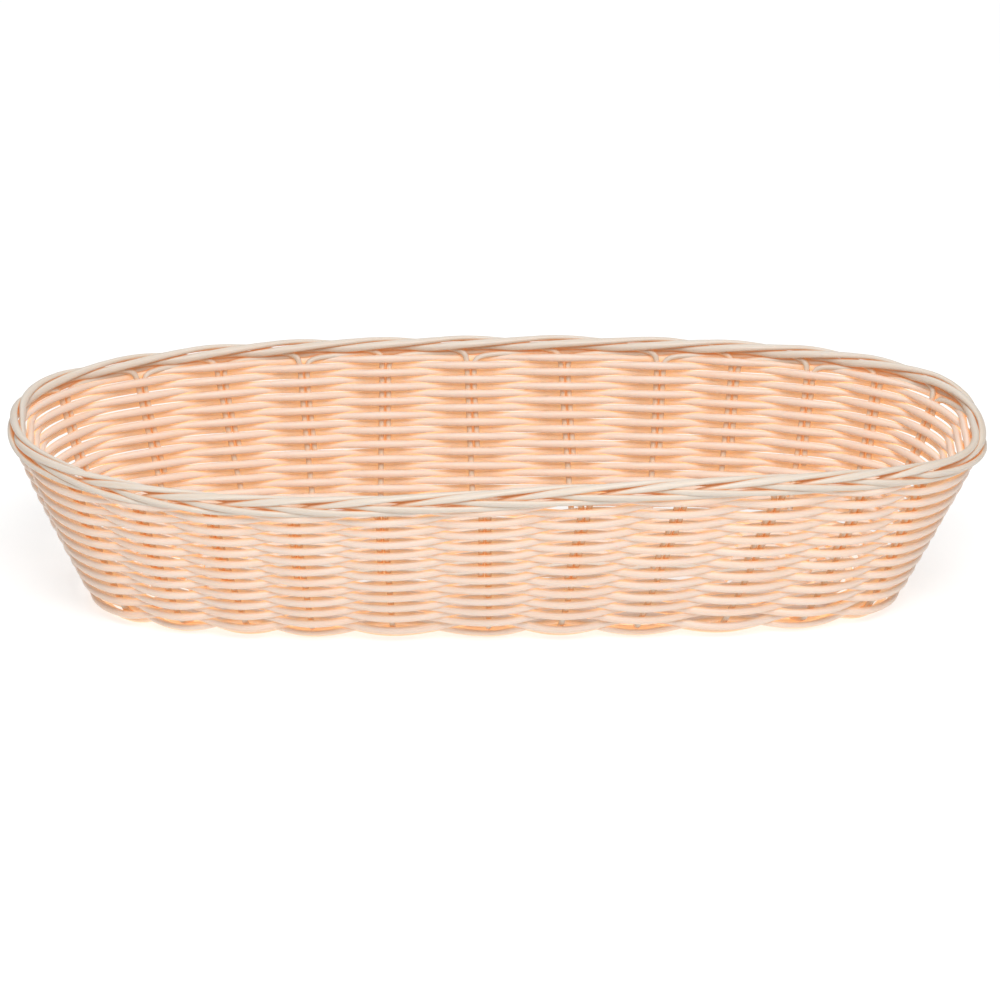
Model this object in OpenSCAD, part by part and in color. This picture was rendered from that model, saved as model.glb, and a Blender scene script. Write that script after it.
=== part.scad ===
// Oblong bread basket, woven from round plastic cane.
// Stakes run across and along the base, turn up the wall, bend over into the rope border and
// tuck down beside a later stake. A weaver passes in front of one stake and behind the next,
// so that each round is the opposite of the one below it.

/* [Overall size] */
// Length over the border
overall_l = 381; // [330:1:460]
// Width over the border
overall_w = 165; // [140:1:200]
// Height from the table to the top of the border
overall_h = 72; // [60:1:88]

/* [Base] */
// Length of the base, between the stakes' bends
base_l = 313; // [270:1:330]
// Width of the base, between the stakes' bends
base_w = 105; // [85:1:120]
// Distance between neighbouring cross stakes
cross_pitch = 29; // [24:1:31]
// Length of the first round, which binds the long stakes
core_l = 212; // [196:1:230]
// Width of the first round, over its middle
core_w = 17; // [15.5:0.5:20]

/* [Stakes and border] */
// Diameter of the stakes
rod_d = 2.2; // [1.8:0.1:2.4]
// How far the border leans outwards, in degrees
border_tilt = 23; // [10:1:30]
// Length of the end that is tucked down inside the wall
tail_l = 36; // [15:1:40]

/* [Weaving] */
// Thickness of a weaver in the wall
weaver_t = 1.9; // [1.5:0.1:2.1]
// Thickness of a weaver in the base
base_weaver_t = 1.8; // [1.5:0.1:2]
// Gap between a weaver and the stake that it passes
weave_gap = 0.15; // [0.1:0.05:0.3]
// Gap between one round and the next
round_gap = 0.25; // [0.15:0.05:0.5]

/* [Hidden] */
N_STAKES = 25;
N_CROSS = 7;
N_LONG = 5;
N_BASE = 14;
N_TURN = 3;
N_WALL = 21;
// The first rounds pass the bundle of stakes at each end as one
N_BUNDLED = 3;
SIDES = 6;

rod_r = rod_d / 2;
stake_gap = 0.1;
tail_gap = rod_d + 0.4;
// Squareness of the three ovals: 2 is an ellipse, larger is squarer
core_n = 8;
base_n = 3.6;
rim_n = 2.6;
// Reach of the bend between base and wall, along the base and along the wall
turn_reach = 4.5;
turn_gap = 1.35;

// Path of a stake's end through the border, as [stake spacings, outwards, up], the last two
// in stake diameters: up and out, over the top, down the inside, under and out again, then low
// along the outside.
border_path = [
    [0.25, 0.28, -0.3], [0.5, 0.45, 0.55], [1, 0.09, 1.27], [1.5, -0.68, 0.82],
    [2, -1.14, -0.18], [2.5, -0.27, -0.45], [3, 1.09, -0.1], [3.5, 1.35, -0.6],
    [4, 1.1, -1.2], [4.6, 0.45, -1.5]
];
border_first = border_path[0][0];
border_last = border_path[len(border_path) - 1][0];
border_step = 0.25;
// Where the upright starts its bend, the bend's corner, and the corner and end of the tuck
bend_low = -2.3;
bend_corner = -0.73;
tuck_corner = -1.55;
tuck_low = -3.2;

function lerp(a, b, f) = a + (b - a) * f;
function unit(v) = v / norm(v);
function bezier(a, b, c, w) = lerp(lerp(a, b, w), lerp(b, c, w), w);
function reversed(p) = [for (i = [len(p) - 1:-1:0]) p[i]];

// How far the border reaches outwards and upwards from its centre line
border_out = rod_r + max([for (p = border_path) rod_d * (p[1] * cos(border_tilt) + p[2] * sin(border_tilt))]);
border_up = rod_r + max([for (p = border_path) rod_d * (p[2] * cos(border_tilt) - p[1] * sin(border_tilt))]);

// Offsets of a weaver from the stakes' middle to its own, with room for the stakes' facets
facet_room = 0.05;
turn_wave = rod_r + weave_gap + base_weaver_t / 2;
base_wave = turn_wave + facet_room;

base_z = base_wave + base_weaver_t / 2;
rim_z = overall_h - border_up;
rim_a = overall_l / 2 - border_out;
rim_b = overall_w / 2 - border_out;
base_a = base_l / 2;
base_b = base_w / 2;
core_a = core_l / 2;
core_b = core_w / 2;

// Point of an oval with half sizes a and b and squareness n, in the stretched direction q
function oval(a, b, n, q) =
    let (c = cos(q), s = sin(q), k = pow(pow(abs(c), n) + pow(abs(s), n), 1 / n))
    [a * c / k, b * s / k];
// Stretched direction, from 0 to 180, of the point whose x is this share of the half length
function oval_dir(share, n) =
    share == 0 ? 90 :
    let (m = min(abs(share), 1), q = atan(pow(pow(1 / m, n) - 1, 1 / n)))
    share > 0 ? q : 180 - q;

// Where the stakes of each side stand, from the right end to the left: their place along the
// base as a share of its half length, and their place along the rim as a share of that
corner_share = 0.93;
outer_share = 4 * cross_pitch / base_a;
function cross_share(i) = i * cross_pitch / base_a;
// The single extra stake stands between the outer bundle and the outermost cross stake
bye_place = 3.3;
back_base = [corner_share, outer_share, cross_share(bye_place), cross_share(3), cross_share(2),
    cross_share(1), 0, cross_share(-1), cross_share(-2), cross_share(-3), -outer_share, -corner_share];
back_rim = [0.94, 0.82, 0.68, 0.52, 0.36, 0.15, -0.05, -0.23, -0.41, -0.59, -0.76, -0.92];
front_base = [corner_share, outer_share, cross_share(3), cross_share(2), cross_share(1), 0,
    cross_share(-1), cross_share(-2), cross_share(-3), -outer_share, -corner_share];
front_rim = [0.87, 0.75, 0.57, 0.37, 0.17, -0.04, -0.25, -0.43, -0.6, -0.75, -0.88];
// Directions of the bundled stakes at the ends of the first round
bundle_dirs = [25, 40];

function core_dir(share) =
    abs(share) == corner_share ? (share > 0 ? bundle_dirs[0] : 180 - bundle_dirs[0]) :
    abs(share) == outer_share ? (share > 0 ? bundle_dirs[1] : 180 - bundle_dirs[1]) :
    oval_dir(share * base_a / core_a, core_n);

// Directions of all the stakes, anticlockwise from the right end
core_q = concat([0], [for (s = back_base) core_dir(s)], [180], reversed([for (s = front_base) 360 - core_dir(s)]));
base_q = concat([0], [for (s = back_base) oval_dir(s, base_n)], [180],
    reversed([for (s = front_base) 360 - oval_dir(s, base_n)]));
rim_q = concat([0], [for (s = back_rim) oval_dir(s, rim_n)], [180],
    reversed([for (s = front_rim) 360 - oval_dir(s, rim_n)]));

// Value of a list of directions at t stake spacings, over any number of turns
function dir_at(list, t) =
    let (i = floor(t), turns = floor(i / N_STAKES), j = i - turns * N_STAKES,
        next = j + 1 < N_STAKES ? list[j + 1] : list[0] + 360)
    lerp(list[j], next, t - i) + 360 * turns;

function at_height(p, z) = [p[0], p[1], z];
function core_point(t) = at_height(oval(core_a, core_b, core_n, dir_at(core_q, t)), base_z);
function base_corner(t) = at_height(oval(base_a, base_b, base_n, dir_at(base_q, t)), base_z);
function rim_point(t) = at_height(oval(rim_a, rim_b, rim_n, dir_at(rim_q, t)), rim_z);

// Directions of the base and of the wall at t
function base_line(t) = unit(base_corner(t) - core_point(t));
function wall_line(t) = unit(rim_point(t) - base_corner(t));
function turn_start(t) = base_corner(t) - turn_reach * base_line(t);
function turn_end(t) = base_corner(t) + turn_reach * wall_line(t);
function turn_point(t, w) = bezier(turn_start(t), base_corner(t), turn_end(t), w);
function wall_point(t, z) = lerp(base_corner(t), rim_point(t), (z - base_z) / (rim_z - base_z));

// Middle of the base and turn rounds, and the direction across a round, at t
function flat_end(t) = base_corner(t) - (turn_reach + turn_gap) * base_line(t);
function round_middle(k, t) =
    k < N_BASE ? lerp(core_point(t), flat_end(t), k / (N_BASE - 1)) :
    turn_point(t, (k - N_BASE + 0.5) / N_TURN);
function round_across(k, t) =
    k < N_BASE ? base_line(t) :
    lerp(base_line(t), wall_line(t), (k - N_BASE + 0.5) / N_TURN);

// Number of the stake, with each end's bundle counted as one
function bundled(j) = j <= 2 ? 0 : j <= 11 ? j - 2 : j <= 15 ? 9 : j <= 22 ? j - 6 : 17;
// 1 where round k passes outside stake j, and -1 where it passes inside
function side_of(k, j) = (k + (k < N_BUNDLED ? bundled(j) : j)) % 2 == 0 ? 1 : -1;

// Stations along a round: a short level stretch over each stake, longer where the first round
// runs beside the outer stakes of a bundle
base_level = 0.1;
wall_level = 0.12;
bundle_level = 0.25;
function beside_bundle(j, e) = e < 0 ? j == 11 || j == 23 : j == 2 || j == 15;
function stations(level, k = N_BASE) = [for (j = [0:N_STAKES], e = [-1, 1])
    [j, j + e * (k == 0 && beside_bundle(j, e) ? bundle_level : level)]];

// Closed skin over rings of points
module skin(rings) {
    n = len(rings[0]);
    last = len(rings) - 1;
    sides = [for (i = [0:last - 1], j = [0:n - 1])
        let (a = i * n + j, b = i * n + (j + 1) % n) each [[a, b + n, b], [a, a + n, b + n]]];
    polyhedron(
        points = [for (r = rings) each r],
        faces = concat([[for (j = [0:n - 1]) j]], sides, [[for (j = [n - 1:-1:0]) last * n + j]]));
}

// Round rod along a path of points
function tangents(p) = [for (i = [0:len(p) - 1]) unit(p[min(i + 1, len(p) - 1)] - p[max(i - 1, 0)])];
function carried(u, t) = unit(u - (u * t) * t);
module rod(path) {
    t = tangents(path);
    last = len(path) - 1;
    across = [for (i = 0, u = carried([1, 0.3, 0.1], t[0]); i <= last; i = i + 1, u = carried(u, t[min(i, last)])) u];
    skin([for (i = [0:last]) let (u = across[i], v = cross(t[i], u))
        [for (s = [0:SIDES - 1]) path[i] + rod_r * (cos(s * 360 / SIDES) * u + sin(s * 360 / SIDES) * v)]]);
}

// A flat strip woven over and under the stakes of the base
module woven_strip(k, width, wave) {
    skin([for (s = stations(base_level, k))
        let (t = s[1],
            along = unit(round_middle(k, t + 0.01) - round_middle(k, t - 0.01)),
            out = unit(cross(along, round_across(k, t))),
            across = cross(out, along),
            m = round_middle(k, t) + wave * side_of(k, s[0]) * out,
            h = base_weaver_t / 2 * out,
            w = width / 2 * across)
        [m - h - w, m - h + w, m + h + w, m + h - w]]);
}

// Width left for one round beside its neighbours, over the flat base and round the bend,
// where the inner faces lean towards each other
base_pitch = (base_b - turn_reach - turn_gap - core_b) / (N_BASE - 1);
turn_chord = min([for (j = [0:N_STAKES - 1]) norm(turn_point(j, 0.5) - turn_point(j, 0.5 - 1 / N_TURN))]);
turn_lean = atan2(rim_z - base_z, min(rim_a - base_a, rim_b - base_b)) / N_TURN;
turn_room = 0.45;
turn_pitch = turn_chord - base_weaver_t * sin(turn_lean / 2) - turn_room;
module base_round(k) {
    color("bisque") woven_strip(k, base_pitch - round_gap, base_wave);
}
module turn_round(k) {
    color("peachpuff") woven_strip(k, turn_pitch - round_gap, turn_wave);
}

// Rounds of the wall: level bands, each a little further out than the one below
foot_gap = 0.7;
border_gap = 0.3;
wall_low = base_z + turn_reach + foot_gap;
wall_high = rim_z + rod_d * tuck_corner - rod_r - border_gap;
wall_pitch = (wall_high - wall_low) / N_WALL;
// The bands stand upright, so they also leave room for the stakes' lean, as run over rise
wall_lean = max(rim_a - base_a, rim_b - base_b) / (rim_z - base_z);
lean_room = wall_pitch / 2 * wall_lean + rod_r * (norm([1, wall_lean]) - 1);
wall_wave = rod_r + weave_gap + weaver_t / 2 + lean_room;
module wall_round(i) {
    k = N_BASE + N_TURN + i;
    low = wall_low + i * wall_pitch;
    middle = low + wall_pitch / 2;
    places = [for (s = stations(wall_level))
        let (t = s[1],
            p = wall_point(t, middle),
            along = unit(wall_point(t + 0.01, middle) - wall_point(t - 0.01, middle)),
            out = [along[1], -along[0]])
        [[p[0], p[1]] + wall_wave * side_of(k, s[0]) * out, weaver_t / 2 * out]];
    color("peachpuff")
        translate([0, 0, low])
            linear_extrude(height = wall_pitch - round_gap)
                polygon(concat([for (q = places) q[0] + q[1]], reversed([for (q = places) q[0] - q[1]])));
}

// Place in the border at t, out and up in stake diameters, slid back along the rim by slip
function border_at(t, out, up, slip = 0) =
    let (along = unit(rim_point(t + 0.01) - rim_point(t - 0.01)),
        level = [along[1], -along[0], 0],
        normal = [level[0] * cos(border_tilt), level[1] * cos(border_tilt), -sin(border_tilt)],
        rise = [level[0] * sin(border_tilt), level[1] * sin(border_tilt), cos(border_tilt)])
    rim_point(t) + rod_d * (out * normal + up * rise) - slip * along;
// Smooth value of the border's path between its points
function slope(i, c) =
    let (a = border_path[max(i - 1, 0)], b = border_path[min(i + 1, len(border_path) - 1)])
    (b[c] - a[c]) / (b[0] - a[0]);
function border_value(x, c) =
    let (i = max([for (i = [0:len(border_path) - 2]) border_path[i][0] <= x ? i : 0]),
        a = border_path[i], b = border_path[i + 1], h = b[0] - a[0], s = (x - a[0]) / h)
    (1 + 2 * s) * pow(1 - s, 2) * a[c] + s * pow(1 - s, 2) * h * slope(i, c)
        + s * s * (3 - 2 * s) * b[c] + s * s * (s - 1) * h * slope(i + 1, c);
function border_point(j, x) = border_at(j + x, border_value(x, 1), border_value(x, 2), tail_gap * max(0, x - 4));

// The end of a stake from its base bend on: bend, upright, border, tuck and tail
function stake_end(j) =
    let (turned = [for (w = [0:1 / 3:1.01]) turn_point(j, w)],
        low = rim_point(j) + rod_d * bend_low * wall_line(j),
        corner = rim_point(j) + rod_d * bend_corner * wall_line(j),
        first = border_point(j, border_first),
        bent = [for (w = [0, 0.3, 0.6]) bezier(low, corner, first, w)],
        run = [for (x = [border_first:border_step:border_last - 0.1]) border_point(j, x)],
        five = j + 5,
        last = border_point(j, border_last),
        down = wall_line(five),
        beside = tail_gap * unit(rim_point(five + 0.01) - rim_point(five - 0.01)),
        tuck = rim_point(five) + rod_d * tuck_corner * down - beside,
        inside = rim_point(five) + rod_d * tuck_low * down - beside,
        tucked = [for (w = [0, 0.35, 0.7, 1]) bezier(last, tuck, inside, w)])
    concat(turned, bent, run, tucked, [inside - tail_l * down]);

// Stakes of one piece that run across the base, from a front wall to a back wall
cross_pairs = [[22, 4], [21, 5], [20, 6], [19, 7], [18, 8], [17, 9], [16, 10]];
module cross_stake(i) {
    pair = cross_pairs[i - 1];
    color("oldlace") rod(concat(reversed(stake_end(pair[0])), stake_end(pair[1])));
}

// Stakes of one piece that run along the base, over the cross stakes, and fan out at the ends
long_pairs = [[13, 0], [12, 1], [14, 24], [11, 2], [15, 23]];
long_rows = [0, 1, -1, 2, -2];
row_gap = 0.3;
fan_reach = 6;
step_reach = 2;
long_end = core_a - fan_reach;
long_start = 3 * cross_pitch + rod_d + step_reach;
module long_stake(i) {
    pair = long_pairs[i - 1];
    y = long_rows[i - 1] * (rod_d + row_gap);
    top = base_z + rod_d + stake_gap;
    color("oldlace") rod(concat(
        reversed(stake_end(pair[0])),
        [core_point(pair[0]), [-long_end, y, base_z], [-long_start, y, top],
            [long_start, y, top], [long_end, y, base_z], core_point(pair[1])],
        stake_end(pair[1])));
}

// The single stake that makes their number odd, so that the rounds alternate
bye_index = 3;
module bye_stake() {
    color("oldlace") rod(concat([core_point(bye_index)], stake_end(bye_index)));
}

function two_digits(i) = str(i < 10 ? "0" : "", i);

for (i = [1:N_CROSS]) cross_stake(i);
for (i = [1:N_LONG]) long_stake(i);
bye_stake();
for (i = [1:N_BASE]) base_round(i - 1);
for (i = [1:N_TURN]) turn_round(N_BASE + i - 1);
for (i = [1:N_WALL]) wall_round(i - 1);
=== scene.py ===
"""Oblong bread basket of woven plastic cane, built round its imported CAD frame."""

import logging
import math
from dataclasses import dataclass, field
from enum import Enum
from typing import Callable, TypeVar

import bmesh
import bpy
from mathutils import Matrix, Quaternion, Vector, noise


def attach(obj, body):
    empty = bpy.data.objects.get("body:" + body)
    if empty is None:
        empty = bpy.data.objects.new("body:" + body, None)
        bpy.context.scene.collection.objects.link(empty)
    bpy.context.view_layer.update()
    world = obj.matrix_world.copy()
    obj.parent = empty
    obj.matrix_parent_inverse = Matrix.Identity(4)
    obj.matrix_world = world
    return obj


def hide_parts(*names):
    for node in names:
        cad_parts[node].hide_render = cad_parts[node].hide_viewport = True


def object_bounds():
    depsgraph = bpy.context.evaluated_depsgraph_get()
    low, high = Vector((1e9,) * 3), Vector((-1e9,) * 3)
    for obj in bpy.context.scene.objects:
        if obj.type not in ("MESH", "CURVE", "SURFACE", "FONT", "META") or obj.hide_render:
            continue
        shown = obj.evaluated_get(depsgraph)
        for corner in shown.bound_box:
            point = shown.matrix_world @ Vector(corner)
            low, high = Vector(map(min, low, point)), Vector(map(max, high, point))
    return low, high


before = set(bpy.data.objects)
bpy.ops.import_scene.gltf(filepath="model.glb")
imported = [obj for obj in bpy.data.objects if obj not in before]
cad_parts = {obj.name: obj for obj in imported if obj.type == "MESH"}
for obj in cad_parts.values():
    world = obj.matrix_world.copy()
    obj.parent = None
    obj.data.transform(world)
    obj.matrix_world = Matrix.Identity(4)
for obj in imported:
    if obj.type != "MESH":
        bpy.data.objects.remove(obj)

CAD_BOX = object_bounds()
LOG = logging.getLogger("bread_basket")

MM = 0.001
UP = Vector((0.0, 0.0, 1.0))
BODY = "root"
CANE_ATTRIBUTE = "cane"
# Any direction that no stake starts along: the first guess of its section's turn
FIRST_ACROSS = Vector((1.0, 0.3, 0.1))
# What counts as nothing in shares and levels
SMALL = 1e-6
# The wandering noise: its gain, the spacing of its seeds and the plane it is read in
NOISE_GAIN = 1.6
SEED_STEP = 3.17
NOISE_PLANE = 11.3
# A cut end's rounding: how far beyond the cut, and how much of the section is left there
CUT_ROUNDING = ((0.12 * MM, 0.96), (0.22 * MM, 0.86), (0.27 * MM, 0.7))

Amount = TypeVar("Amount", float, Vector)


def lerp(a: Amount, b: Amount, share: float) -> Amount:
    """Gives the value a share of the way from a to b, for numbers and vectors."""
    return a + (b - a) * share


def bezier(a: Vector, b: Vector, c: Vector, share: float) -> Vector:
    """Gives a point on the curve that leaves a towards b and arrives at c from b."""
    return lerp(lerp(a, b, share), lerp(b, c, share), share)


def smooth_step(value: float) -> float:
    """Eases a value from 0 to 1, and holds it outside that range."""
    held = min(max(value, 0.0), 1.0)
    return held * held * (3.0 - 2.0 * held)


def wander(seed: float, along: float, size: float) -> float:
    """Gives a slow, repeatable wandering value between about -size and size."""
    return size * NOISE_GAIN * noise.noise(Vector((along, seed * SEED_STEP, NOISE_PLANE)))


def chance(number: float, draw: tuple[float, float, float]) -> float:
    """Gives a numbered thing its repeatable value in a draw, between about -0.6 and 0.6."""
    return noise.noise(Vector((number * draw[0], draw[1], draw[2])))


class Slot(Enum):
    """Names for the two material slots."""

    STAKE = "stake_cane"
    WEAVER = "weaver_cane"


class Side(Enum):
    """The side of a stake that a weaver passes on."""

    OUTSIDE = 1.0
    INSIDE = -1.0


class Seed(Enum):
    """The separate wanderings that the hand work leaves in the canes."""

    WEAVER_RISE = 1.0
    WEAVER_OUT = 2.0
    STAKE_OUT = 5.0
    STAKE_UP = 9.0


# ---------------------------------------------------------------------------- materials


def linear_colour(hex_code: str) -> tuple[float, float, float, float]:
    """Turns an sRGB hex colour into the linear values that shaders use.

    Args:
        hex_code: Six hex digits with a leading hash.

    Returns:
        Red, green, blue and alpha in linear light.
    """
    parts = [int(hex_code[i:i + 2], 16) / 255.0 for i in (1, 3, 5)]
    r, g, b = (p / 12.92 if p <= 0.04045 else ((p + 0.055) / 1.055) ** 2.4 for p in parts)
    return (r, g, b, 1.0)


def add_node(tree: bpy.types.NodeTree, kind: str, settings: dict | None = None,
             values: dict | None = None, links: dict | None = None) -> bpy.types.Node:
    """Adds a shader node with its settings, socket values and incoming links.

    Args:
        tree: The material's node tree.
        kind: The node's type name.
        settings: Attributes of the node.
        values: Input socket to constant value.
        links: Input socket to the output socket that feeds it.

    Returns:
        The new node.
    """
    node = tree.nodes.new(kind)
    for key, value in (settings or {}).items():
        setattr(node, key, value)
    for key, value in (values or {}).items():
        node.inputs[key].default_value = value
    for key, source in (links or {}).items():
        tree.links.new(source, node.inputs[key])
    return node


def new_tree(name: str) -> tuple[bpy.types.Material, bpy.types.NodeTree]:
    """Makes an empty node material.

    Args:
        name: The material's name.

    Returns:
        The material and its empty tree.
    """
    material = bpy.data.materials.new(name)
    material.use_nodes = True
    material.node_tree.nodes.clear()
    return material, material.node_tree


def set_ramp(ramp: bpy.types.Node, stops: list[tuple[float, str]]) -> None:
    """Gives a colour ramp its stops.

    Args:
        ramp: The colour ramp node.
        stops: Position and sRGB hex colour of each stop, from low to high.
    """
    elements = ramp.color_ramp.elements
    while len(elements) < len(stops):
        elements.new(0.5)
    for element, (place, colour) in zip(elements, stops):
        element.position = place
        element.color = linear_colour(colour)


@dataclass(frozen=True)
class CaneFinish:
    """Extruded polypropylene cane: satin, milky and a little see-through.

    To the eye it has a soft broad gloss, faint draw lines along it from the die and slow
    mottling of the melt. In the narrow gaps a painted warm glow and painted shade stand in
    for light that comes through the cane: a crevice colour and an emission laid on where
    ambient occlusion finds other canes close. Patterns follow the cane through its own
    attribute, which holds metres along it and the place round its section.
    """

    name: str
    pale: str
    deep: str
    stain: str
    # Painted light in the gaps: the colour that stands in for shade and glow there, the colour of the
    # painted glow, and its emission strength
    painted_crevice_tint: str
    painted_glow_colour: str
    emission_strength: float
    glow: float
    glow_depth: float
    roughness: float
    crevice_reach: float = 6.0 * MM
    ior: float = 1.49
    streak_length: float = 22.0 * MM
    streaks_round: float = 4.5
    streak_depth: float = 0.12 * MM
    mottle_length: float = 48.0 * MM
    mottles_round: float = 0.7
    streak_share: float = 0.45
    tone_places: tuple[float, float, float] = (0.28, 0.46, 0.66)
    crevice_range: tuple[float, float] = (0.08, 0.66)
    roughness_range: tuple[float, float] = (-0.06, 0.08)
    scatter: tuple[float, float, float] = (1.0, 0.75, 0.55)

    def build(self) -> bpy.types.Material:
        """Builds the cane's material.

        Returns:
            The finished material.
        """
        material, tree = new_tree(self.name)
        place = add_node(tree, "ShaderNodeAttribute", {"attribute_name": CANE_ATTRIBUTE})
        # Draw lines: long along the cane and about 0.4 mm wide round it, where real ones are
        # nearer 0.1 mm, so that they show
        streak_at = add_node(
            tree, "ShaderNodeVectorMath", {"operation": "MULTIPLY"},
            {1: (1.0 / self.streak_length, self.streaks_round, self.streaks_round)},
            {0: place.outputs["Vector"]})
        streaks = add_node(
            tree, "ShaderNodeTexNoise", {"noise_dimensions": "3D"},
            {"Scale": 1.0, "Detail": 4.0, "Roughness": 0.6}, {"Vector": streak_at.outputs[0]})
        # Mottling: the melt is a little paler and deeper from hand's breadth to hand's breadth
        mottle_at = add_node(
            tree, "ShaderNodeVectorMath", {"operation": "MULTIPLY"},
            {1: (1.0 / self.mottle_length, self.mottles_round, self.mottles_round)},
            {0: place.outputs["Vector"]})
        mottle = add_node(
            tree, "ShaderNodeTexNoise", {"noise_dimensions": "3D"},
            {"Scale": 1.0, "Detail": 2.0, "Roughness": 0.5}, {"Vector": mottle_at.outputs[0]})
        blend = add_node(
            tree, "ShaderNodeMix", {"data_type": "FLOAT"},
            {"Factor": self.streak_share},
            {"A": mottle.outputs["Fac"], "B": streaks.outputs["Fac"]})
        ramp = add_node(tree, "ShaderNodeValToRGB", None, None, {"Fac": blend.outputs[0]})
        set_ramp(ramp, list(zip(self.tone_places, (self.stain, self.deep, self.pale))))
        # Painted glow and shade: where ambient occlusion finds other canes close, the colour turns
        # to the crevice colour and a warm emission is added, in place of light through the milky cane
        open_air = add_node(
            tree, "ShaderNodeAmbientOcclusion", {"samples": 6, "inside": False},
            {"Distance": self.crevice_reach})
        depth = add_node(
            tree, "ShaderNodeMapRange", {"interpolation_type": "SMOOTHSTEP"},
            {"From Min": self.crevice_range[0], "From Max": self.crevice_range[1],
             "To Min": 1.0, "To Max": 0.0},
            {"Value": open_air.outputs["AO"]})
        # Painted shade and glow: the base colour turns to the crevice colour where other canes are
        # close
        colour = add_node(
            tree, "ShaderNodeMix", {"data_type": "RGBA"}, {"B": linear_colour(self.painted_crevice_tint)},
            {"Factor": depth.outputs[0], "A": ramp.outputs["Color"]})
        # Painted glow: a warm emission, strongest where other canes are close, stands in for light
        # through the cane
        through = add_node(
            tree, "ShaderNodeMix", {"data_type": "RGBA"},
            {"A": (0.0, 0.0, 0.0, 1.0), "B": linear_colour(self.painted_glow_colour)},
            {"Factor": depth.outputs[0]})
        rough = add_node(
            tree, "ShaderNodeMapRange", None,
            {"From Min": 0.3, "From Max": 0.7,
             "To Min": self.roughness + self.roughness_range[0],
             "To Max": self.roughness + self.roughness_range[1]},
            {"Value": streaks.outputs["Fac"]})
        bump = add_node(
            tree, "ShaderNodeBump", None,
            {"Strength": 0.35, "Distance": self.streak_depth},
            {"Height": streaks.outputs["Fac"]})
        shader = add_node(
            tree, "ShaderNodeBsdfPrincipled", {"subsurface_method": "RANDOM_WALK"},
            {"IOR": self.ior, "Metallic": 0.0, "Subsurface Weight": self.glow,
             "Subsurface Radius": self.scatter, "Subsurface Scale": self.glow_depth,
             "Emission Strength": self.emission_strength},
            {"Base Color": colour.outputs["Result"],
             "Emission Color": through.outputs["Result"], "Roughness": rough.outputs[0],
             "Normal": bump.outputs["Normal"]})
        add_node(tree, "ShaderNodeOutputMaterial", None, None, {"Surface": shader.outputs[0]})
        return material


@dataclass(frozen=True)
class OpalSheetFinish:
    """Matt opal acrylic of a light table, cast in sheet.

    To the eye it is an even white without gloss, lit a little from below, so that what
    stands on it throws hardly any shadow.
    """

    name: str = "opal_acrylic_light_table"
    pale: str = "#A9A9A8"
    deep: str = "#A5A5A4"
    cloud: float = 40.0 * MM
    emission_strength: float = 0.66

    def build(self) -> bpy.types.Material:
        """Builds the sheet's material.

        Returns:
            The finished material.
        """
        material, tree = new_tree(self.name)
        place = add_node(tree, "ShaderNodeTexCoord")
        tone = add_node(
            tree, "ShaderNodeTexNoise", {"noise_dimensions": "3D"},
            {"Scale": 1.0 / self.cloud, "Detail": 3.0}, {"Vector": place.outputs["Object"]})
        ramp = add_node(tree, "ShaderNodeValToRGB", None, None, {"Fac": tone.outputs["Fac"]})
        set_ramp(ramp, [(0.3, self.deep), (0.7, self.pale)])
        shader = add_node(
            tree, "ShaderNodeBsdfPrincipled", None,
            {"Roughness": 0.9, "IOR": 1.49, "Emission Color": (1.0, 1.0, 1.0, 1.0),
             "Emission Strength": self.emission_strength},
            {"Base Color": ramp.outputs["Color"]})
        add_node(tree, "ShaderNodeOutputMaterial", None, None, {"Surface": shader.outputs[0]})
        return material


# ---------------------------------------------------------------------------- the plan


@dataclass(frozen=True)
class Oval:
    """A rounded oval: squareness 2 is an ellipse, and larger is squarer."""

    half_length: float
    half_width: float
    squareness: float
    height: float

    def point(self, direction: float) -> Vector:
        """Gives a point of the oval.

        Args:
            direction: The stretched direction, in degrees.

        Returns:
            The point at the oval's height.
        """
        c = math.cos(math.radians(direction))
        s = math.sin(math.radians(direction))
        reach = (abs(c) ** self.squareness + abs(s) ** self.squareness) ** (1.0 / self.squareness)
        return Vector((self.half_length * c / reach, self.half_width * s / reach, self.height))

    def direction(self, share: float) -> float:
        """Gives the direction of a place along the oval's length.

        Args:
            share: The place's x as a share of the half length.

        Returns:
            The stretched direction, from 0 to 180.
        """
        if abs(share) < SMALL:
            return 90.0
        ratio = (1.0 / min(abs(share), 1.0)) ** self.squareness - 1.0
        turned = math.degrees(math.atan(ratio ** (1.0 / self.squareness)))
        return turned if share > 0 else 180.0 - turned


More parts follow.
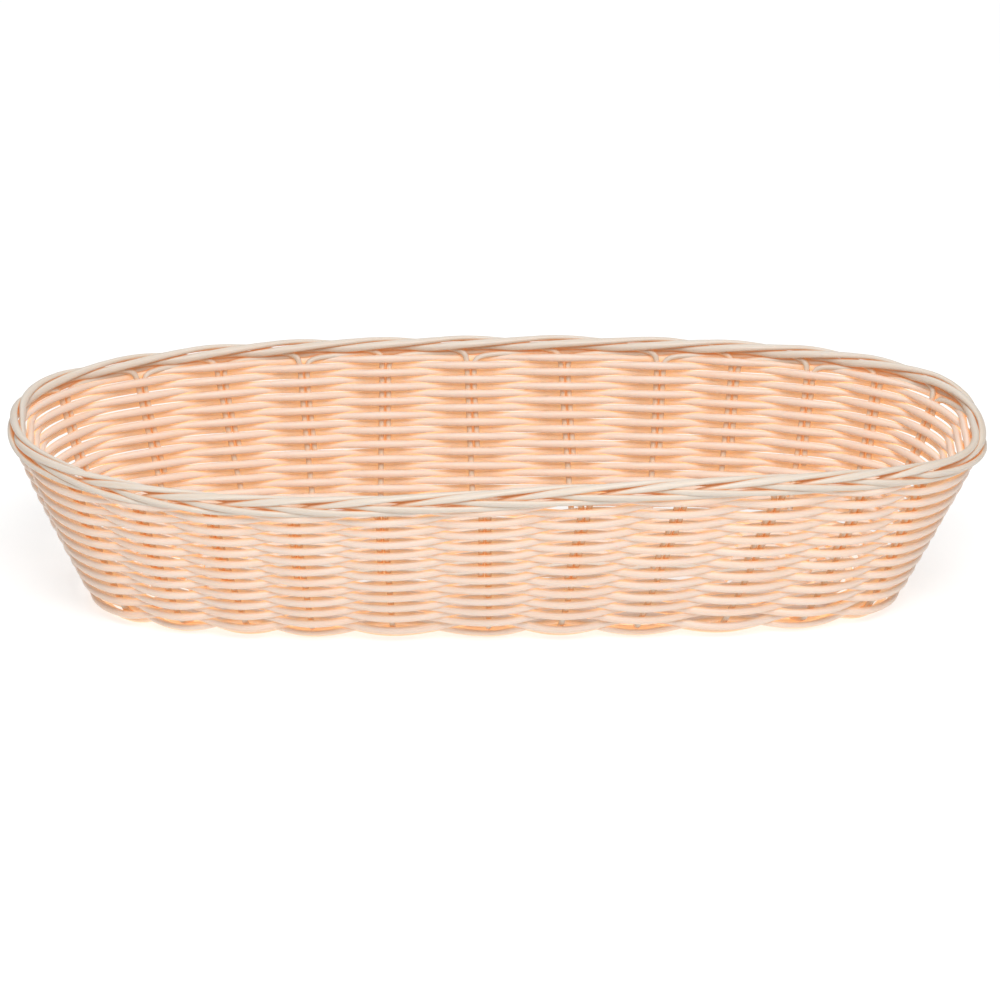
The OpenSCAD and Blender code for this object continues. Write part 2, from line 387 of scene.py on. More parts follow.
@dataclass
class BasketPlan:
    """The lines that every cane of the basket follows, as in the CAD model.

    Places round the basket are counted in stakes, anticlockwise from the right end.
    """

    base_length: float = 313.0 * MM
    base_width: float = 105.0 * MM
    core_length: float = 212.0 * MM
    core_width: float = 17.0 * MM
    stake_size: float = 2.2 * MM
    border_tilt: float = math.radians(23.0)
    turn_reach: float = 4.5 * MM
    turn_gap: float = 1.35 * MM
    base_rise: float = 3.4 * MM
    wall_foot: float = 0.7 * MM
    wall_gap: float = 3.4 * MM
    fan_share: float = 0.7
    fan_pitch: float = 118.0
    fan_start: float = 19.0
    outer_cross: float = 91.7 * MM
    core_squareness: float = 8.0
    base_squareness: float = 3.6
    rim_squareness: float = 2.6
    base_rounds: int = 14
    turn_rounds: int = 3
    wall_rounds: int = 21
    # In the first rounds the stakes at each end are woven as one: first and last of a bundle
    bundled_rounds: int = 3
    left_bundle: tuple[int, int] = (11, 15)
    right_bundle: tuple[int, int] = (23, 2)
    # Where the stakes stand, as shares of the half length: the weaver pulls them out of step
    back_base: tuple[float, ...] = (
        0.975, 0.914, 0.767, 0.586, 0.415, 0.217, -0.035, -0.275, -0.441, -0.61, -0.805, -0.975)
    front_base: tuple[float, ...] = (
        0.92, 0.754, 0.55, 0.339, 0.15, -0.026, -0.262, -0.46, -0.62, -0.78, -0.914)
    back_rim: tuple[float, ...] = (
        0.94, 0.82, 0.68, 0.52, 0.36, 0.15, -0.05, -0.23, -0.41, -0.59, -0.76, -0.92)
    front_rim: tuple[float, ...] = (
        0.87, 0.75, 0.57, 0.37, 0.17, -0.04, -0.25, -0.43, -0.6, -0.75, -0.88)
    # A stake's end in the border: stake spacings, then outwards and up in stake sizes
    border_path: tuple[tuple[float, float, float], ...] = (
        (0.25, 0.28, -0.3), (0.5, 0.45, 0.55), (1.0, 0.09, 1.2), (1.5, -0.68, 0.82),
        (2.0, -1.05, 0.2), (2.5, -0.27, -0.4), (3.0, 1.09, -0.1), (3.5, 1.35, -0.6),
        (4.0, 1.1, -1.2), (4.6, 0.45, -1.5))
    bend_low: float = -2.3
    bend_corner: float = -0.73
    tuck_corner: float = -1.55
    tuck_low: float = -3.2
    # Weaving by hand leaves the base a little off centre and the walls a little full
    base_shift: float = -1.2 * MM
    wall_bulge: float = 1.2 * MM
    # The front of the hand-laid rim runs unevenly: its slope, arch and twist along the length
    rim_lift: float = 1.0 * MM
    rim_slope: float = 2.9 * MM
    rim_arch: float = -3.7 * MM
    rim_twist: float = -13.8 * MM
    tangent_reach: float = 0.01
    core: Oval = field(init=False)
    base: Oval = field(init=False)
    rim: Oval = field(init=False)
    core_turns: list[float] = field(init=False)
    base_turns: list[float] = field(init=False)
    rim_turns: list[float] = field(init=False)
    stakes: int = field(init=False)

    def __post_init__(self) -> None:
        """Works out the three ovals and where each stake meets them."""
        low, high = CAD_BOX
        cos_tilt, sin_tilt = math.cos(self.border_tilt), math.sin(self.border_tilt)
        radius, size = self.stake_size / 2.0, self.stake_size
        path = self.border_path
        reach_out = radius + size * max(o * cos_tilt + u * sin_tilt for _, o, u in path)
        reach_up = radius + size * max(u * cos_tilt - o * sin_tilt for _, o, u in path)
        self.core = Oval(self.core_length / 2.0, self.core_width / 2.0,
                         self.core_squareness, self.base_rise)
        self.base = Oval(self.base_length / 2.0, self.base_width / 2.0,
                         self.base_squareness, self.base_rise)
        self.rim = Oval((high[0] - low[0]) / 2.0 - reach_out, (high[1] - low[1]) / 2.0 - reach_out,
                        self.rim_squareness, high[2] - reach_up)
        self.core_turns = self._turns(self.back_base, self.front_base, self._core_direction)
        self.base_turns = self._turns(self.back_base, self.front_base, self.base.direction)
        self.rim_turns = self._turns(self.back_rim, self.front_rim, self.rim.direction)
        self.stakes = len(self.base_turns)

    @staticmethod
    def _turns(back: tuple[float, ...], front: tuple[float, ...],
               direction: Callable[[float], float]) -> list[float]:
        """Lists the directions of all the stakes from their shares of the half length.

        Args:
            back: Shares of the stakes in the back wall, from the right.
            front: Shares of those in the front wall, from the right.
            direction: Turns a share into a direction from 0 to 180.

        Returns:
            The directions in degrees, anticlockwise from the right end.
        """
        return [0.0, *map(direction, back), 180.0,
                *(360.0 - direction(share) for share in reversed(front))]

    def _core_direction(self, share: float) -> float:
        """Gives the direction at which a stake leaves the core, where the end stakes fan out.

        Args:
            share: The stake's share of the base's half length.

        Returns:
            The direction in degrees, from 0 to 180.
        """
        if abs(share) < self.fan_share:
            return self.core.direction(share * self.base.half_length / self.core.half_length)
        turned = (1.0 - abs(share)) * self.fan_pitch + self.fan_start
        return turned if share > 0 else 180.0 - turned

    def _direction_at(self, turns: list[float], t: float) -> float:
        """Gives the direction at t stakes, over any number of laps round the basket.

        Args:
            turns: The directions of the stakes in order.
            t: Stakes round the basket.

        Returns:
            The direction in degrees, which goes on growing from lap to lap.
        """
        whole = math.floor(t)
        laps, index = divmod(whole, self.stakes)
        after = turns[index + 1] if index + 1 < self.stakes else turns[0] + 360.0
        return lerp(turns[index], after, t - whole) + 360.0 * laps

    def core_point(self, t: float) -> Vector:
        """Gives the point of the first round at t stakes."""
        return self.core.point(self._direction_at(self.core_turns, t))

    def base_corner(self, t: float) -> Vector:
        """Gives the point where base and wall would meet without their bend."""
        corner = self.base.point(self._direction_at(self.base_turns, t))
        return corner + Vector((self.base_shift, 0.0, 0.0))

    def rim_point(self, t: float) -> Vector:
        """Gives the middle of the border, with the hand-laid rim's unevenness.

        Args:
            t: Stakes round the basket.

        Returns:
            The point that the border is laid round.
        """
        # Arch and twist are Legendre terms, so that they leave the rim's mean height alone
        point = self.rim.point(self._direction_at(self.rim_turns, t))
        x = point.x / self.rim.half_length
        front = 0.5 - 0.5 * point.y / self.rim.half_width
        point.z += front * (self.rim_lift + self.rim_slope * x + self.rim_arch * (x * x - 1.0 / 3.0)
                            + self.rim_twist * (x ** 3 - 0.6 * x))
        return point

    def base_line(self, t: float) -> Vector:
        """Gives the direction of the base at t, outwards."""
        return (self.base_corner(t) - self.core_point(t)).normalized()

    def wall_line(self, t: float) -> Vector:
        """Gives the direction of the wall at t, upwards."""
        return (self.rim_point(t) - self.base_corner(t)).normalized()

    def turn_point(self, t: float, share: float) -> Vector:
        """Gives a point on the bend from base to wall.

        Args:
            t: Stakes round the basket.
            share: From 0 at the base to 1 at the wall.

        Returns:
            The point.
        """
        corner = self.base_corner(t)
        start = corner - self.turn_reach * self.base_line(t)
        end = corner + self.turn_reach * self.wall_line(t)
        return bezier(start, corner, end, share)

    def wall_point(self, t: float, share: float) -> Vector:
        """Gives a point of the wall, which is a little full between foot and border.

        Args:
            t: Stakes round the basket.
            share: From 0 at the foot to 1 at the border's middle.

        Returns:
            The point.
        """
        corner, rim = self.base_corner(t), self.rim_point(t)
        full = Vector((rim.x - corner.x, rim.y - corner.y, 0.0)).normalized()
        return lerp(corner, rim, share) + full * (self.wall_bulge * 4.0 * share * (1.0 - share))

    @property
    def rounds(self) -> int:
        """The number of rounds, from the core to the border."""
        return self.base_rounds + self.turn_rounds + self.wall_rounds

    def round_point(self, level: int, t: float) -> Vector:
        """Gives the middle of a whole round at t stakes.

        Args:
            level: The round, from 0 at the core.
            t: Stakes round the basket.

        Returns:
            The point midway between the round's inner and outer sides.
        """
        if level < self.base_rounds:
            edge = self.base_corner(t) - (self.turn_reach + self.turn_gap) * self.base_line(t)
            return lerp(self.core_point(t), edge, level / (self.base_rounds - 1))
        turned = level - self.base_rounds
        if turned < self.turn_rounds:
            return self.turn_point(t, (turned + 0.5) / self.turn_rounds)
        tall = self.rim.height - self.base.height
        low = (self.turn_reach + self.wall_foot) / tall
        high = 1.0 - self.wall_gap / tall
        share = (turned - self.turn_rounds + 0.5) / self.wall_rounds
        return self.wall_point(t, lerp(low, high, share))

    def between_rounds(self, level: float, t: float) -> Vector:
        """Gives the middle at a level between two rounds.

        Args:
            level: The level, in rounds from the core.
            t: Stakes round the basket.

        Returns:
            The point.
        """
        whole = math.floor(level)
        share = level - whole
        point = self.round_point(whole, t)
        return point if share < SMALL else lerp(point, self.round_point(whole + 1, t), share)

    def round_rise(self, level: float, t: float) -> Vector:
        """Gives the direction across a round, towards the next one.

        Args:
            level: The level, in rounds from the core.
            t: Stakes round the basket.

        Returns:
            A direction of length 1.
        """
        whole = min(max(math.floor(level + 0.5), 1), self.rounds - 2)
        return (self.round_point(whole + 1, t) - self.round_point(whole - 1, t)).normalized()

    def bundled(self, stake: int) -> int:
        """Numbers the stakes with the bundle at each end counted as one.

        Args:
            stake: The stake, counted round the basket.

        Returns:
            Its number among the bundles and single stakes.
        """
        (left_first, left_last), (right_first, right_last) = self.left_bundle, self.right_bundle
        left = left_first - right_last
        if stake <= right_last:
            return 0
        if stake <= left_last:
            return min(stake - right_last, left)
        return min(stake, right_first) - left_last + left

    def side_of(self, level: int, stake: int) -> Side:
        """Gives the side on which a round passes a stake.

        Args:
            level: The round, from 0 at the core.
            stake: The stake, counted round the basket.

        Returns:
            The weaver's side.
        """
        number = self.bundled(stake) if level < self.bundled_rounds else stake
        return Side.OUTSIDE if (level + number) % 2 == 0 else Side.INSIDE

    def border_frame(self, t: float) -> tuple[Vector, Vector, Vector]:
        """Gives the directions along the rim, out of the wall and up it.

        Args:
            t: Stakes round the basket.

        Returns:
            Three directions of length 1.
        """
        near = self.tangent_reach
        along = (self.rim_point(t + near) - self.rim_point(t - near)).normalized()
        level = Vector((along.y, -along.x, 0.0)).normalized()
        tilt_c, tilt_s = math.cos(self.border_tilt), math.sin(self.border_tilt)
        return along, level * tilt_c - UP * tilt_s, level * tilt_s + UP * tilt_c


# ---------------------------------------------------------------------------- cane meshes


@dataclass
class Station:
    """One section of a cane: where it is, how it is turned and its half sizes."""

    centre: Vector
    across: Vector
    half_across: float
    half_through: float
    along: float = 0.0


@dataclass
class CaneBuilder:
    """Makes closed cane meshes by drawing a round section along stations."""

    sides: int = 10

    @staticmethod
    def _placed(station: Station, tangent: Vector) -> Matrix:
        """Gives the matrix that carries a unit circle onto a station.

        Args:
            station: The section.
            tangent: The cane's direction there, of length 1.

        Returns:
            The matrix.
        """
        through = tangent.cross(station.across).normalized()
        across = through.cross(tangent).normalized()
        size = station.half_across
        columns = (across * station.half_across, through * station.half_through, tangent * size)
        matrix = Matrix.Identity(4)
        for i, column in enumerate(columns):
            matrix.col[i].xyz = column
        matrix.col[3].xyz = station.centre
        return matrix

    def draw(self, name: str, stations: list[Station]) -> bpy.types.Object:
        """Draws one cane: a long straight tube, cut into sections that are laid in place.

        Args:
            name: The piece's name.
            stations: The sections in order, at least two.

        Returns:
            The new object, at the origin, with its place in its mesh.
        """
        last = len(stations) - 1
        places: list[Matrix] = []
        for i, station in enumerate(stations):
            tangent = stations[min(i + 1, last)].centre - stations[max(i - 1, 0)].centre
            places.append(self._placed(station, tangent.normalized()))
        # The tube is one station long for each section, so its height numbers the sections
        bm = bmesh.new()
        layer = bm.verts.layers.float_vector.new(CANE_ATTRIBUTE)
        bmesh.ops.create_cone(
            bm, cap_ends=True, cap_tris=False, segments=self.sides, radius1=1.0, radius2=1.0,
            depth=float(last), matrix=Matrix.Translation((0.0, 0.0, last / 2.0)))
        lengthwise = [e for e in bm.edges if abs(e.verts[0].co.z - e.verts[1].co.z) > 0.5]
        bmesh.ops.subdivide_edges(bm, edges=lengthwise, cuts=last - 1)
        for vert in bm.verts:
            index = round(vert.co.z)
            vert[layer] = (stations[index].along, vert.co.x, vert.co.y)
            vert.co = places[index] @ Vector((vert.co.x, vert.co.y, 0.0))
        for face in bm.faces:
            face.smooth = len(face.verts) == 4
        for edge in bm.edges:
            edge.smooth = all(face.smooth for face in edge.link_faces)
        mesh = bpy.data.meshes.new(name)
        bm.to_mesh(mesh)
        bm.free()
        piece = bpy.data.objects.new(name, mesh)
        bpy.context.scene.collection.objects.link(piece)
        return piece


def measured(stations: list[Station], start: float = 0.0) -> list[Station]:
    """Writes the running length on each station.

    Args:
        stations: The sections in order.
        start: The length at the first one.

    Returns:
        The same stations.
    """
    run = start
    for i, station in enumerate(stations):
        if i:
            run += (station.centre - stations[i - 1].centre).length
        station.along = run
    return stations


def cut_ends(stations: list[Station], first: bool, last: bool) -> list[Station]:
    """Rounds off the cut ends of a cane over a few tenths of a millimetre.

    Args:
        stations: The sections in order.
        first: Whether the first end is a cut end.
        last: Whether the last end is one.

    Returns:
        The stations with the rounded ends added.
    """
    def cap(end: Station, before: Station) -> list[Station]:
        """Gives the shrinking sections beyond an end.

        Args:
            end: The section at the cut.
            before: The section next to it.

        Returns:
            The sections in order, away from the cut.
        """
        outwards = (end.centre - before.centre).normalized()
        return [Station(end.centre + outwards * step, end.across.copy(),
                        end.half_across * size, end.half_through * size, end.along)
                for step, size in CUT_ROUNDING]

    made = list(stations)
    if first:
        made = list(reversed(cap(stations[0], stations[1]))) + made
    if last:
        made = made + cap(stations[-1], stations[-2])
    return made


# ---------------------------------------------------------------------------- the weaving


@dataclass
class Weaving:
    """The peach weaver: it runs over and under the stakes in a long spiral.

    It goes round after round from the core of the base to the border, and each round is a
    piece.
    """

    plan: BasketPlan
    finish: CaneFinish
    radius: float = 1.68 * MM
    steps: int = 12
    base_wave: float = 2.25 * MM
    base_half: float = 1.12 * MM
    wall_wave: float = 2.5 * MM
    wall_half: float = 1.36 * MM
    pressed_half: float = 1.5 * MM
    climb: float = 0.7
    unevenness: float = 0.18 * MM
    base_play: float = 0.35
    rise_drift: float = 0.61
    out_drift: float = 0.43
    least_pitch: float = 2.6 * MM
    tangent_reach: float = 0.02
    builder: CaneBuilder = field(default_factory=CaneBuilder)

    def _level(self, number: int, t: float) -> float:
        """Gives a round's level, which climbs to the next one over its last stretch.

        Args:
            number: The round, from 0 at the core.
            t: Stakes round the basket.

        Returns:
            The level in rounds.
        """
        if number == self.plan.rounds - 1:
            return float(number)
        return number + smooth_step((t - (self.plan.stakes - self.climb)) / self.climb)

    def _wave(self, number: int, t: float) -> float:
        """Gives the weaver's swing.

        Args:
            number: The round, from 0 at the core.
            t: Stakes round the basket.

        Returns:
            A value between outside, 1, and inside, -1.
        """
        stake = min(int(math.floor(t)), self.plan.stakes - 1)
        here = self.plan.side_of(number, stake).value
        there = self.plan.side_of(number, stake + 1).value
        return here if here == there else here * math.cos(math.pi * (t - stake))

    def _station(self, number: int, t: float) -> Station:
        """Gives the weaver's section in one round.

        Args:
            number: The round, from 0 at the core.
            t: Stakes round the basket.

        Returns:
            The section, with the hand's unevenness and the press of its neighbours.
        """
        plan = self.plan
        level = self._level(number, t)
        share = smooth_step((level - (plan.base_rounds - 1)) / plan.turn_rounds)
        middle = plan.between_rounds(level, t)
        near = self.tangent_reach
        along = plan.between_rounds(level, t + near) - plan.between_rounds(level, t - near)
        rise = plan.round_rise(level, t)
        out = along.cross(rise).normalized()
        swing = self._wave(number, t)
        wave = lerp(self.base_wave, self.wall_wave, share)
        through = lerp(self.base_half, self.wall_half, share)
        run = number * plan.stakes + t
        play = lerp(self.base_play, 1.0, share) * self.unevenness
        centre = middle + out * (wave * swing)
        centre += rise * wander(Seed.WEAVER_RISE.value, run * self.rise_drift, play)
        centre += out * wander(Seed.WEAVER_OUT.value, run * self.out_drift, play * 0.5)
        # Between two stakes the canes above and below press it narrower and thicker
        pressed = 1.0 - swing * swing
        pitch = (plan.round_point(min(int(level) + 1, plan.rounds - 1), t) - middle).length
        room = max(pitch, self.least_pitch) * 0.5
        across = lerp(self.radius, min(self.radius, room), pressed)
        return Station(centre, rise, across, lerp(through, self.pressed_half, pressed * share))

    def _round(self, number: int, start: float) -> tuple[bpy.types.Object, float]:
        """Builds one round as a piece.

        Args:
            number: The round, from 0 at the core.
            start: Metres of cane already used.

        Returns:
            The piece and the metres used with it.
        """
        count = self.plan.stakes * self.steps
        sections = [self._station(number, i / self.steps) for i in range(count + 1)]
        stations = measured(sections, start)
        reached = stations[-1].along
        stations = cut_ends(stations, number == 0, number == self.plan.rounds - 1)
        return self.builder.draw(f"weaver_round_{number + 1:02d}", stations), reached

    def _node_of(self, number: int) -> str:
        """Names the CAD node that a round stands for.

        Args:
            number: The round, from 0 at the core.

        Returns:
            The node's name.
        """
        if number < self.plan.base_rounds:
            return f"base_round_{number + 1:02d}"
        turned = number - self.plan.base_rounds
        if turned < self.plan.turn_rounds:
            return f"turn_round_{turned + 1}"
        return f"wall_round_{turned - self.plan.turn_rounds + 1:02d}"

    def build(self) -> list[bpy.types.Object]:
        """Builds and dresses every round, parents it to the body and hides its CAD node.

        Returns:
            The pieces, from the core of the base to the border.
        """
        material = self.finish.build()
        pieces, reached = [], 0.0
        for number in range(self.plan.rounds):
            piece, reached = self._round(number, reached)
            piece.data.materials.append(material)
            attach(piece, BODY)
            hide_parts(self._node_of(number))
            pieces.append(piece)
        return pieces


# ---------------------------------------------------------------------------- the stakes


@dataclass
class Waypoint:
    """A place that a stake runs through, and how flat it lies there against what side."""

    place: Vector
    facing: Vector = field(default_factory=UP.copy)
    pressed: float = 0.0


@dataclass
class Stakes:
    """The ivory stakes: each runs through the base, up two walls and along the border."""

    plan: BasketPlan
    finish: CaneFinish
    radius: float = 1.2 * MM
    pressed_half: float = 1.55 * MM
    pressed_thin: float = 1.12 * MM
    # A strand begins to lie flat so far along the border, and is round again before its tuck
    press_from: float = 0.3
    press_ease: float = 0.5
    press_until: float = 3.7
    press_release: float = 0.8
    turn_rate: float = 0.3
    smoothings: int = 3
    border_run: int = 5
    border_step: float = 0.05
    slip_from: float = 4.0
    looseness: float = 0.09
    tail_splay: float = 1.0 * MM
    tail_gap: float = 2.5 * MM
    tail_length: float = 34.0 * MM
    tail_play: float = 0.3
    tail_draw: tuple[float, float, float] = (1.7, 0.3, 4.1)
    splay_draw: tuple[float, float, float] = (2.3, 5.5, 0.7)
    # Long stakes lie side by side over the cross stakes and come down beyond the outermost
    row_gap: float = 0.3 * MM
    come_down_from: float = 4.2 * MM
    come_down_before: float = 6.0 * MM
    # Waypoints on each stretch of a stake
    bend_steps: int = 6
    wall_steps: int = 16
    tuck_steps: int = 7
    tail_steps: int = 12
    base_steps: int = 24
    core_steps: int = 30
    fan_steps: int = 10
    bye_steps: int = 12
    cross_pairs: tuple[tuple[int, int], ...] = (
        (22, 4), (21, 5), (20, 6), (19, 7), (18, 8), (17, 9), (16, 10))
    long_pairs: tuple[tuple[int, int], ...] = ((13, 0), (12, 1), (14, 24), (11, 2), (15, 23))
    long_rows: tuple[int, ...] = (0, 1, -1, 2, -2)
    bye_stake: int = 3
    builder: CaneBuilder = field(default_factory=lambda: CaneBuilder(sides=12))

    def _border_value(self, x: float, column: int) -> float:
        """Gives the border path's smooth value, by cubic curves through its points.

        Args:
            x: Stake spacings along the border.
            column: 1 for outwards, 2 for up.

        Returns:
            The value in stake sizes.
        """
        path = self.plan.border_path
        last = len(path) - 1

        def slope(i: int) -> float:
            """Gives the path's slope at its point i, from the points beside it.

            Args:
                i: The point's number.

            Returns:
                The slope in stake sizes to a stake spacing.
            """
            a, b = path[max(i - 1, 0)], path[min(i + 1, last)]
            return (b[column] - a[column]) / (b[0] - a[0])

        i = max(k for k in range(last) if path[k][0] <= x + SMALL)
        a, b = path[i], path[i + 1]
        h = b[0] - a[0]
        s = (x - a[0]) / h
        return ((1 + 2 * s) * (1 - s) ** 2 * a[column] + s * (1 - s) ** 2 * h * slope(i)
                + s * s * (3 - 2 * s) * b[column] + s * s * (s - 1) * h * slope(i + 1))

    def _border_point(self, stake: int, x: float) -> Vector:
        """Gives a point of a stake's end along the border.

        Args:
            stake: The stake, counted round the basket.
            x: Stake spacings that its end has run along the border.

        Returns:
            The middle of the cane there.
        """
        plan = self.plan
        along, out, up = plan.border_frame(stake + x)
        size = plan.stake_size
        slip = self.tail_gap * max(0.0, x - self.slip_from)
        loose = self.looseness * size
        outwards = size * self._border_value(x, 1) + wander(stake + Seed.STAKE_OUT.value, x, loose)
        upwards = size * self._border_value(x, 2) + wander(stake + Seed.STAKE_UP.value, x, loose)
        return plan.rim_point(stake + x) + out * outwards + up * upwards - along * slip

    def _border_waypoint(self, stake: int, x: float) -> Waypoint:
        """Gives a border point with the flat side that its pull against the others gives it.

        Args:
            stake: The stake, counted round the basket.
            x: Stake spacings that its end has run along the border.

        Returns:
            The place, the way out of the border and how flat the cane is.
        """
        _, out, up = self.plan.border_frame(stake + x)
        facing = out * self._border_value(x, 1) + up * self._border_value(x, 2)
        pressed = (smooth_step((x - self.press_from) / self.press_ease)
                   * (1.0 - smooth_step((x - self.press_until) / self.press_release)))
        return Waypoint(self._border_point(stake, x), facing.normalized(), pressed)

    def _upright(self, stake: int) -> list[Vector]:
        """Lists the places of a stake's bend, upright and lean into the border.

        Args:
            stake: The stake, counted round the basket.

        Returns:
            The places from the edge of the base to just before the border.
        """
        plan = self.plan
        rim, lift = plan.rim_point(stake), plan.wall_line(stake) * plan.stake_size
        low, corner = rim + lift * plan.bend_low, rim + lift * plan.bend_corner
        points = [plan.turn_point(stake, i / self.bend_steps) for i in range(self.bend_steps + 1)]
        tall = rim.z - plan.base.height
        foot, top = ((point.z - plan.base.height) / tall for point in (points[-1], low))
        points += [plan.wall_point(stake, lerp(foot, top, i / self.wall_steps))
                   for i in range(1, self.wall_steps)]
        start = self._border_point(stake, plan.border_path[0][0])
        points += [bezier(low, corner, start, i / self.bend_steps) for i in range(self.bend_steps)]
        return points

    def _tail(self, stake: int) -> list[Vector]:
        """Lists the places of a stake's tuck and its tail inside the wall.

        Args:
            stake: The stake, counted round the basket.

        Returns:
            The places from the end of the border to the tail's cut.
        """
        plan = self.plan
        beside_stake = stake + self.border_run
        down = -plan.wall_line(beside_stake)
        along, _, _ = plan.border_frame(beside_stake)
        beside = plan.rim_point(beside_stake) - along * self.tail_gap
        tuck = beside - down * (plan.tuck_corner * plan.stake_size)
        inside = beside - down * (plan.tuck_low * plan.stake_size)
        end = self._border_point(stake, plan.border_path[-1][0])
        points = [bezier(end, tuck, inside, i / self.tuck_steps) for i in range(self.tuck_steps + 1)]
        reach = self.tail_length * (1.0 + self.tail_play * chance(stake, self.tail_draw))
        splay = along * (-2.0 * self.tail_splay * abs(chance(stake, self.splay_draw)))
        base, rim = plan.base_corner(beside_stake), plan.rim_point(beside_stake)
        for i in range(1, self.tail_steps + 1):
            point = inside + down * (reach * i / self.tail_steps)
            share = (point.z - plan.base.height) / (plan.rim.height - plan.base.height)
            full = plan.wall_point(beside_stake, share) - lerp(base, rim, share)
            points.append(point + full + splay * (i / self.tail_steps) ** 2)
        return points

    def _end_path(self, stake: int) -> list[Waypoint]:
        """Lists the way of a stake's end: bend, upright, border, tuck and tail.

        Args:
            stake: The stake, counted round the basket.

        Returns:
            The waypoints from the edge of the base to the end of the tail.
        """
        first, last = self.plan.border_path[0][0], self.plan.border_path[-1][0]
        count = round((last - first) / self.border_step)
        border = [self._border_waypoint(stake, lerp(first, last, i / count)) for i in range(count)]
        return [*map(Waypoint, self._upright(stake)), *border, *map(Waypoint, self._tail(stake))]

    def _cane(self, name: str, way: list[Waypoint]) -> bpy.types.Object:
        """Draws a stake of cane along its way, with both ends cut.

        Args:
            name: The piece's name.
            way: The waypoints from one end to the other.

        Returns:
            The new piece.
        """
        points = [step.place for step in way]
        for _ in range(self.smoothings):
            eased = [(a + b * 2.0 + c) / 4.0 for a, b, c in zip(points, points[1:], points[2:])]
            points = [points[0], *eased, points[-1]]
        last = len(points) - 1
        across = FIRST_ACROSS.copy()
        stations: list[Station] = []
        for i, (point, step) in enumerate(zip(points, way)):
            tangent = (points[min(i + 1, last)] - points[max(i - 1, 0)]).normalized()
            across = (across - tangent * across.dot(tangent)).normalized()
            flat = tangent.cross(step.facing).normalized()
            flat = flat if flat.dot(across) >= 0.0 else -flat
            across = lerp(across, flat, self.turn_rate * step.pressed).normalized()
            stations.append(Station(
                point, across.copy(), lerp(self.radius, self.pressed_half, step.pressed),
                lerp(self.radius, self.pressed_thin, step.pressed)))
        return self.builder.draw(name, cut_ends(measured(stations), True, True))

    def _dress(self, piece: bpy.types.Object, node: str, material: bpy.types.Material) -> None:
        """Gives a stake its finish, parents it to the body and hides the CAD node it stands for.

        Args:
            piece: The stake.
            node: The CAD node's name.
            material: The cane's material.
        """
        piece.data.materials.append(material)
        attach(piece, BODY)
        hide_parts(node)

    def _across_base(self, a: Vector, b: Vector) -> list[Waypoint]:
        """Lists the way between the two bends of a cross stake.

        Args:
            a: The place of the front bend.
            b: The place of the back bend.

        Returns:
            The waypoints between them.
        """
        return [Waypoint(lerp(a, b, i / self.base_steps)) for i in range(1, self.base_steps)]

    def _along_base(self, pair: tuple[int, int], row: int) -> list[Waypoint]:
        """Lists the way of a long stake over the core and down to its fans.

        Args:
            pair: The stake's numbers at its left and right ends.
            row: Its place across the core, from the middle.

        Returns:
            The waypoints from the left bend to the right one.
        """
        plan = self.plan
        low, high = plan.base_rise, plan.base_rise + 2.0 * self.radius
        y = row * (plan.stake_size + self.row_gap)
        end = plan.core.half_length - self.come_down_before
        start = plan.outer_cross + self.come_down_from
        fan_a, fan_b = plan.core_point(pair[0]), plan.core_point(pair[1])
        turn_a, turn_b = plan.turn_point(pair[0], 0.0), plan.turn_point(pair[1], 0.0)
        points = [lerp(turn_a, fan_a, i / self.fan_steps) for i in range(1, self.fan_steps + 1)]
        points.append(Vector((-end, y, low)))
        points += [Vector((lerp(-start, start, i / self.core_steps), y, high))
                   for i in range(self.core_steps + 1)]
        points.append(Vector((end, y, low)))
        points += [lerp(fan_b, turn_b, i / self.fan_steps) for i in range(self.fan_steps)]
        return [Waypoint(point) for point in points]

    def build(self) -> list[bpy.types.Object]:
        """Builds and dresses every stake, parents it to the body and hides its CAD node.

        Returns:
            The cross stakes, the long stakes and the single bye stake.
        """
        material = self.finish.build()
        ways: list[tuple[str, str, list[Waypoint]]] = []
        for i, (front, back) in enumerate(self.cross_pairs, start=1):
            a, b = self._end_path(front), self._end_path(back)
            way = a[::-1] + self._across_base(a[0].place, b[0].place) + b
            ways.append((f"stake_across_{i}", f"cross_stake_{i}", way))
        for i, (pair, row) in enumerate(zip(self.long_pairs, self.long_rows), start=1):
            a, b = self._end_path(pair[0]), self._end_path(pair[1])
            way = a[::-1] + self._along_base(pair, row) + b
            ways.append((f"stake_along_{i}", f"long_stake_{i}", way))
        start, end = self.plan.core_point(self.bye_stake), self._end_path(self.bye_stake)
        base = [Waypoint(lerp(start, end[0].place, i / self.bye_steps)) for i in range(self.bye_steps)]
        ways.append(("stake_bye", "bye_stake", base + end))
        pieces: list[bpy.types.Object] = []
        for name, node, way in ways:
            pieces.append(self._cane(name, way))
            self._dress(pieces[-1], node, material)
        return pieces


# ---------------------------------------------------------------------------- the studio


@dataclass(frozen=True)
class Softbox:
    """A square soft light that faces the basket, with its power in watts."""

    name: str
    place: tuple[float, float, float]
    size: float
    power: float

    def hang(self) -> None:
        """Hangs the light in its place."""
        lamp = bpy.data.lights.new(self.name, "AREA")
        lamp.shape = "SQUARE"
        lamp.size = self.size
        lamp.energy = self.power
        light = bpy.data.objects.new(self.name, lamp)
        light.location = self.place
        light.rotation_euler = (-Vector(self.place)).to_track_quat("-Z", "Y").to_euler()
        bpy.context.scene.collection.objects.link(light)


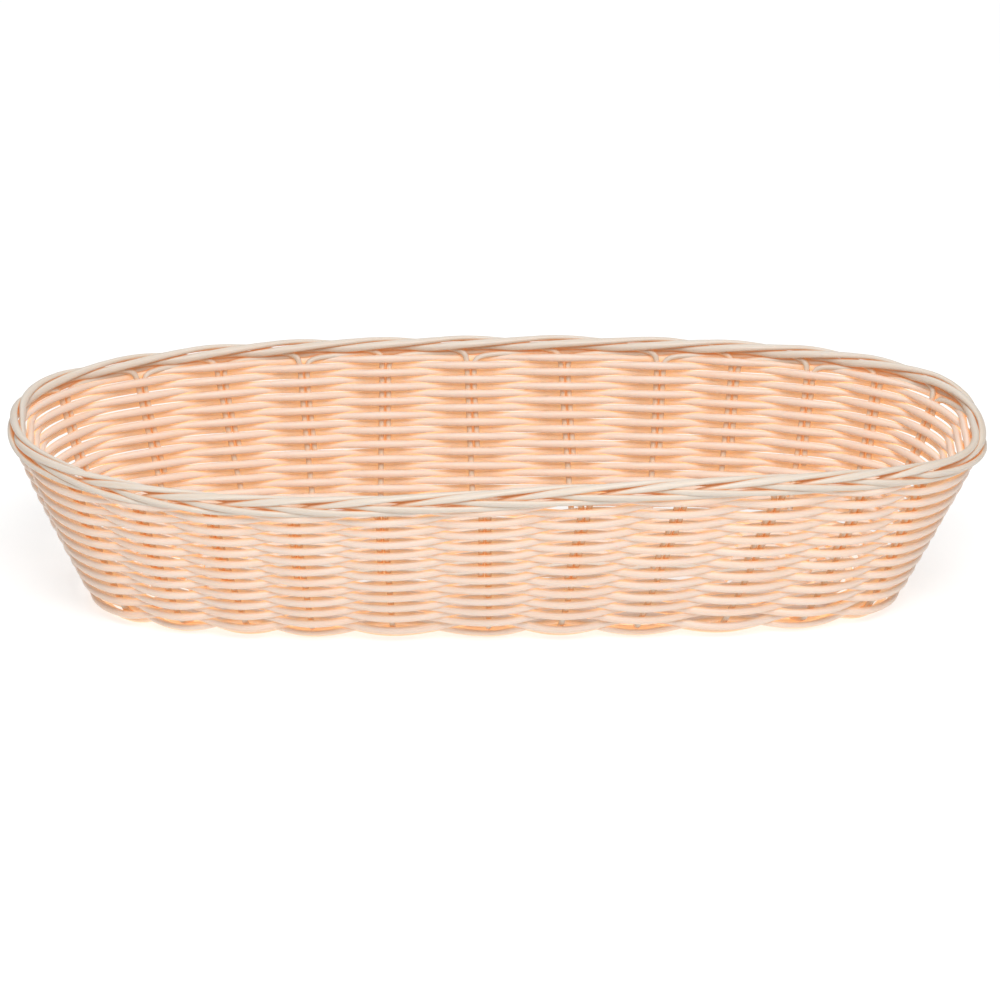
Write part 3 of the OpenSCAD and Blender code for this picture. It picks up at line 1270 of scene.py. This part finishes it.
@dataclass
class Studio:
    """A light table, soft light from high behind and in front, and a long lens."""

    sheet: OpalSheetFinish = field(default_factory=OpalSheetFinish)
    floor_size: float = 12.0
    sky: float = 0.42
    softboxes: tuple[Softbox, ...] = (
        Softbox("softbox_back", (-0.1, 0.9, 1.28), 0.9, 4.5),
        Softbox("softbox_front", (0.1, -0.9, 1.28), 0.9, 20.0))
    distance: float = 2.5
    elevation: float = math.radians(23.5)
    azimuth: float = math.radians(-2.9)
    roll: float = math.radians(0.9)
    lens: float = 230.0
    sensor: float = 36.0
    sight: float = 50.0
    aim: tuple[float, float, float] = (1.0 * MM, 0.0, 35.4 * MM)

    def _floor(self) -> None:
        """Lays the light table's sheet, which runs on as the background."""
        bm = bmesh.new()
        bmesh.ops.create_grid(bm, x_segments=1, y_segments=1, size=self.floor_size / 2.0)
        mesh = bpy.data.meshes.new("floor_sheet")
        bm.to_mesh(mesh)
        bm.free()
        floor = bpy.data.objects.new("floor_sheet", mesh)
        floor.data.materials.append(self.sheet.build())
        bpy.context.scene.collection.objects.link(floor)

    def _camera(self) -> None:
        """Sets the camera on the basket."""
        data = bpy.data.cameras.new("camera")
        data.lens = self.lens
        data.sensor_width = self.sensor
        data.clip_end = self.sight
        camera = bpy.data.objects.new("camera", data)
        target = Vector(self.aim)
        flat = Vector((math.sin(self.azimuth), -math.cos(self.azimuth), 0.0))
        towards = flat * math.cos(self.elevation) + UP * math.sin(self.elevation)
        camera.location = target + towards * self.distance
        aimed = (-towards).to_track_quat("-Z", "Y")
        camera.rotation_mode = "QUATERNION"
        camera.rotation_quaternion = aimed @ Quaternion((0.0, 0.0, 1.0), self.roll)
        bpy.context.scene.collection.objects.link(camera)
        bpy.context.scene.camera = camera

    def _surroundings(self) -> None:
        """Fills the room with even white light."""
        world = bpy.data.worlds.new("studio")
        world.use_nodes = True
        sky = world.node_tree.nodes.get("Background")
        sky.inputs["Color"].default_value = (1.0, 1.0, 1.0, 1.0)
        sky.inputs["Strength"].default_value = self.sky
        bpy.context.scene.world = world
        bpy.context.scene.view_settings.view_transform = "Standard"

    def build(self) -> None:
        """Builds the floor, the lights, the surroundings and the camera."""
        self._floor()
        self._surroundings()
        for softbox in self.softboxes:
            softbox.hang()
        self._camera()


# Ivory extruded polypropylene: a pale, greyish cream, with a painted brown shade and glow where it
# lies close to other canes
IVORY_CANE = CaneFinish(
    name="ivory_polypropylene_cane", pale="#D8CEC2", deep="#D4C7B9", stain="#CEBCA6",
    painted_crevice_tint="#E0A870", painted_glow_colour="#FFB878", emission_strength=0.17,
    glow=0.25, glow_depth=0.5 * MM, roughness=0.42)
# Peach extruded polypropylene: a milkier, warmer cane, with a painted orange glow in its gaps
PEACH_CANE = CaneFinish(
    name="peach_polypropylene_cane", pale="#E6D4C7", deep="#E9D1BF", stain="#ECCAB0",
    painted_crevice_tint="#FFD8B2", painted_glow_colour="#FFD294", emission_strength=0.33,
    glow=0.35, glow_depth=0.8 * MM, roughness=0.44)


def main() -> None:
    """Builds the basket and its studio, and reports each piece."""
    logging.basicConfig(level=logging.INFO, format="%(message)s")
    plan = BasketPlan()
    for assembly in (Stakes(plan, IVORY_CANE), Weaving(plan, PEACH_CANE)):
        for piece in assembly.build():
            LOG.info("%s: %d faces", piece.name, len(piece.data.polygons))
    Studio().build()


if __name__ == "__main__":
    main()
